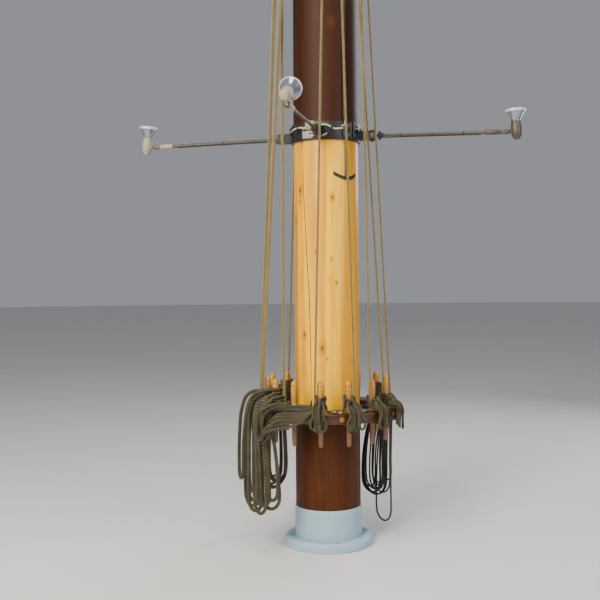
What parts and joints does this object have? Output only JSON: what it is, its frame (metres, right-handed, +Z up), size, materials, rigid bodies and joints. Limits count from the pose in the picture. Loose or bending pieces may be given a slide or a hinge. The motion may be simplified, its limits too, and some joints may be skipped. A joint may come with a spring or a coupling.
{
  "type": "ship's lower mast with ring pin rail",
  "caption": "Sailing ship's lower mast with a ring pin rail, belaying pins and hung-up lines, a band of swinging lamps, blocks and a top.",
  "frame": {"origin": "centre of the mast's flat heel face, on the deck", "axes": "+Z up the mast, +Y aft, +X to port"},
  "size_m": [2.051, 2.0246, 8.4003],
  "materials": {
    "varnished_pine": "gloss varnish",
    "varnished_oak": "gloss varnish",
    "pin_ash": "oiled and worn",
    "top_oak": "weathered oil",
    "block_elm": "tarred",
    "boot_paint": "satin paint",
    "black_iron": "black paint",
    "sheave_bronze": "tarnished",
    "arm_metal": "weathered grey-brown",
    "lamp_shell": "weathered cream",
    "cable_sheath": "matt",
    "black_sheath": "matt",
    "hemp": "weathered laid rope"
  },
  "bodies": {
    "mast": {"mast_pole": "varnished_pine", "mast_boot": "boot_paint", "deck_collar": "boot_paint", "pin_rail": "varnished_oak", "rail_hoop": "black_iron", "pin_01": "pin_ash", "pin_02": "pin_ash", "pin_03": "pin_ash", "pin_04": "pin_ash", "pin_05": "pin_ash", "pin_06": "pin_ash", "pin_08": "pin_ash", "pin_10": "pin_ash", "pin_12": "pin_ash", "pin_13": "pin_ash", "lamp_band": "black_iron", "band_cable": "cable_sheath", "mast_cable": "black_sheath", "upper_band": "black_iron", "block_left": "block_elm", "block_front": "block_elm", "block_right": "block_elm", "block_back": "block_elm", "cheek_port": "top_oak", "cheek_starboard": "top_oak", "trestletree_port": "top_oak", "trestletree_starboard": "top_oak", "crosstree_fore": "top_oak", "crosstree_aft": "top_oak", "top_platform": "top_oak", "mast_cap": "top_oak", "hank_thick": "hemp", "hank_bundle": "hemp", "hank_pin_01": "hemp", "hank_pin_02": "hemp", "hank_pin_03": "hemp", "hank_pin_04": "hemp", "hank_thin": "hemp", "hank_back": "hemp"},
    "arm_right": {"lamp_arm_right": "arm_metal"},
    "arm_front": {"lamp_arm_front": "arm_metal"},
    "arm_left": {"lamp_arm_left": "arm_metal"},
    "arm_back": {"lamp_arm_back": "arm_metal"},
    "head_right": {"lamp_head_right": "lamp_shell"},
    "head_front": {"lamp_head_front": "lamp_shell"},
    "head_left": {"lamp_head_left": "lamp_shell"},
    "head_back": {"lamp_head_back": "lamp_shell"},
    "left_sheave": {"sheave_left": "sheave_bronze"},
    "front_sheave": {"sheave_front": "sheave_bronze"},
    "right_sheave": {"sheave_right": "sheave_bronze"},
    "back_sheave": {"sheave_back": "sheave_bronze"},
    "spare_pin_07": {"pin_07": "pin_ash"},
    "spare_pin_09": {"pin_09": "pin_ash"},
    "spare_pin_11": {"pin_11": "pin_ash"},
    "spare_pin_14": {"pin_14": "pin_ash"}
  },
  "joints": [
    {"name": "swing_right", "type": "hinge", "parent": "mast", "child": "arm_right", "pos_m": [0.24871, -0.16776, 2.618], "axis": [0, 0, 1], "range_deg": [-25, 25]},
    {"name": "swing_front", "type": "hinge", "parent": "mast", "child": "arm_front", "pos_m": [-0.18387, -0.23705, 2.618], "axis": [0, 0, 1], "range_deg": [-25, 2]},
    {"name": "swing_left", "type": "hinge", "parent": "mast", "child": "arm_left", "pos_m": [-0.21287, 0.21139, 2.618], "axis": [0, 0, 1], "range_deg": [-25, 25]},
    {"name": "swing_back", "type": "hinge", "parent": "mast", "child": "arm_back", "pos_m": [0.16776, 0.24871, 2.618], "axis": [0, 0, 1], "range_deg": [-25, 25]},
    {"name": "tilt_right", "type": "hinge", "parent": "arm_right", "child": "head_right", "pos_m": [0.95174, -0.64195, 2.618], "axis": [0.5592, 0.829, 0], "range_deg": [-60, 75]},
    {"name": "tilt_front", "type": "hinge", "parent": "arm_front", "child": "head_front", "pos_m": [-0.70362, -0.9071, 2.618], "axis": [0.7902, -0.6129, 0], "range_deg": [-5, 141]},
    {"name": "tilt_left", "type": "hinge", "parent": "arm_left", "child": "head_left", "pos_m": [-0.87632, 0.87022, 2.618], "axis": [-0.7046, -0.7096, 0], "range_deg": [-60, 75]},
    {"name": "tilt_back", "type": "hinge", "parent": "arm_back", "child": "head_back", "pos_m": [0.64195, 0.95174, 2.618], "axis": [-0.829, 0.5592, 0], "range_deg": [-60, 75]},
    {"name": "turn_left_sheave", "type": "hinge", "parent": "mast", "child": "left_sheave", "pos_m": [-0.28838, -0.0993, 5.114], "axis": [-0.9455, -0.3256, 0], "continuous": true},
    {"name": "turn_front_sheave", "type": "hinge", "parent": "mast", "child": "front_sheave", "pos_m": [-0.10231, -0.28733, 5.114], "axis": [0.6481, -0.7615, 0], "continuous": true},
    {"name": "turn_right_sheave", "type": "hinge", "parent": "mast", "child": "right_sheave", "pos_m": [0.01596, -0.30458, 4.944], "axis": [0.0523, -0.9986, 0], "continuous": true},
    {"name": "turn_back_sheave", "type": "hinge", "parent": "mast", "child": "back_sheave", "pos_m": [0.0582, 0.2994, 5.114], "axis": [0.1908, 0.9816, 0], "continuous": true},
    {"name": "lift_pin_07", "type": "slide", "parent": "mast", "child": "spare_pin_07", "axis": [0, 0, 1], "range_m": [0, 0.25]},
    {"name": "lift_pin_09", "type": "slide", "parent": "mast", "child": "spare_pin_09", "axis": [0, 0, 1], "range_m": [0, 0.25]},
    {"name": "lift_pin_11", "type": "slide", "parent": "mast", "child": "spare_pin_11", "axis": [0, 0, 1], "range_m": [0, 0.25]},
    {"name": "lift_pin_14", "type": "slide", "parent": "mast", "child": "spare_pin_14", "axis": [0, 0, 1], "range_m": [0, 0.25]}
  ]
}
